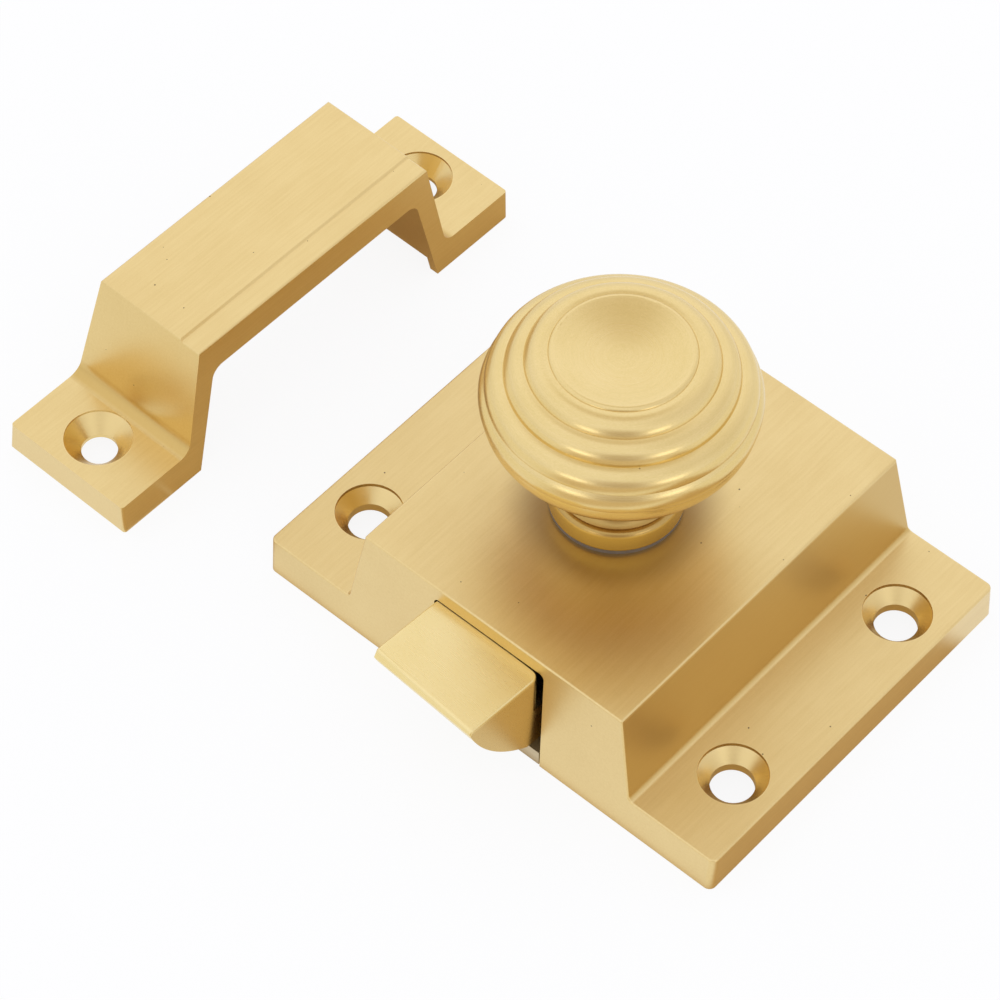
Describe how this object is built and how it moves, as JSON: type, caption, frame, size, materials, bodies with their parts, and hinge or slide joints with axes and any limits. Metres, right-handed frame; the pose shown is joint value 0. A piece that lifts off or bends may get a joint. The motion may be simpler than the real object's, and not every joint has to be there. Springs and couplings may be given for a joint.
{
  "type": "cupboard catch latch",
  "caption": "Surface-mounted cupboard catch: beehive knob on a flanged case that draws in a sprung bolt with a curved underside, with its bridge keeper.",
  "frame": {"origin": "centre of the case's four screw holes, on the plane of the case's back face", "axes": "+Z out of the door face along the knob's axis, +X across the flanges away from the keeper, +Y from the bolt's nose towards the rear of the case"},
  "size_m": [0.1025, 0.0696, 0.0448],
  "materials": {
    "cast_brass": "satin, brushed in one direction",
    "turned_brass": "satin, turned",
    "bolt_brass": "satin, brushed across",
    "plate_brass": "plain rolled sheet",
    "washer_grey": "dull grey",
    "spring_steel": "drawn wire",
    "steel": "plated"
  },
  "bodies": {
    "case_and_keeper": {"case": "cast_brass", "back_plate": "plate_brass", "back_plate_screw_front_left": "steel", "back_plate_screw_front_right": "steel", "back_plate_screw_rear_left": "steel", "back_plate_screw_rear_right": "steel", "bolt_spring": "spring_steel", "knob_washer": "washer_grey", "keeper": "cast_brass"},
    "bolt": {"latch_bolt": "bolt_brass"},
    "knob_and_crank": {"knob": "turned_brass", "spindle": "steel", "crank_arm": "plate_brass", "crank_pin": "steel", "arm_washer": "steel", "arm_screw": "steel"}
  },
  "joints": [
    {"name": "knob_turn", "type": "hinge", "parent": "case_and_keeper", "child": "knob_and_crank", "pos_m": [-0.00132, -0.00176, 0.018], "axis": [0, 0, 1], "range_deg": [0, 60]},
    {"name": "bolt_slide", "type": "slide", "parent": "case_and_keeper", "child": "bolt", "axis": [0.061, 0.9981, 0], "range_m": [0, 0.0085], "stiffness_N_per_m": 350, "springref_m": -0.004, "deforming": ["bolt_spring"]}
  ],
  "couplings": [
    {"joint": "knob_turn", "follows": "bolt_slide", "rad_per_m": 123.19}
  ]
}
